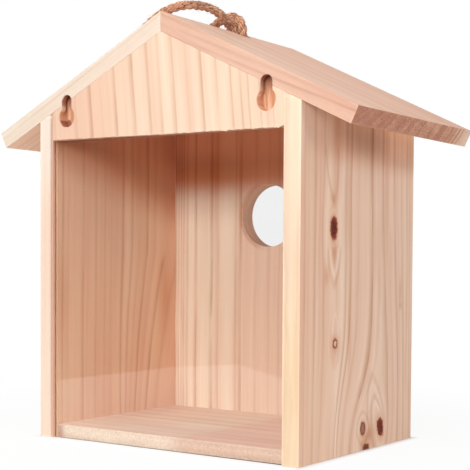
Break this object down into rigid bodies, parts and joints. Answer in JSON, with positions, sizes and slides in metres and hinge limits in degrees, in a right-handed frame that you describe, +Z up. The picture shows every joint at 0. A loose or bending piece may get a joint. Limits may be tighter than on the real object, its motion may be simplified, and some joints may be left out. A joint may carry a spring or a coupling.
{
  "type": "wooden window nest box",
  "caption": "Softwood window nest box with pitched roof, round entrance hole, clear sliding viewing pane, keyhole hanging slots and a rope loop at the ridge.",
  "frame": {"origin": "on the ground under the middle of the roof's length and width", "axes": "+Z up, -Y towards the window (pane and keyholes), +Y towards the entrance hole, X across the box"},
  "size_m": [0.226, 0.1226, 0.2316],
  "materials": {
    "softwood_side": "sanded",
    "softwood_wall": "sanded",
    "softwood_roof": "sanded",
    "clear_acrylic": "clear gloss",
    "jute_rope": "fibrous",
    "steel_brad": "satin"
  },
  "bodies": {
    "house": {"left_side_panel": "softwood_side", "right_side_panel": "softwood_side", "floor_panel": "softwood_side", "front_panel": "softwood_wall", "rear_gable": "softwood_wall", "left_roof_board": "softwood_roof", "right_roof_board": "softwood_roof", "hanging_rope": "jute_rope", "rope_knot": "jute_rope", "left_side_brads": "steel_brad", "right_side_brads": "steel_brad", "left_roof_brads": "steel_brad", "right_roof_brads": "steel_brad"},
    "pane": {"viewing_pane": "clear_acrylic"}
  },
  "joints": [
    {"name": "pane_slide", "type": "slide", "parent": "house", "child": "pane", "axis": [0, 0, -1], "range_m": [0, 0.165]}
  ]
}
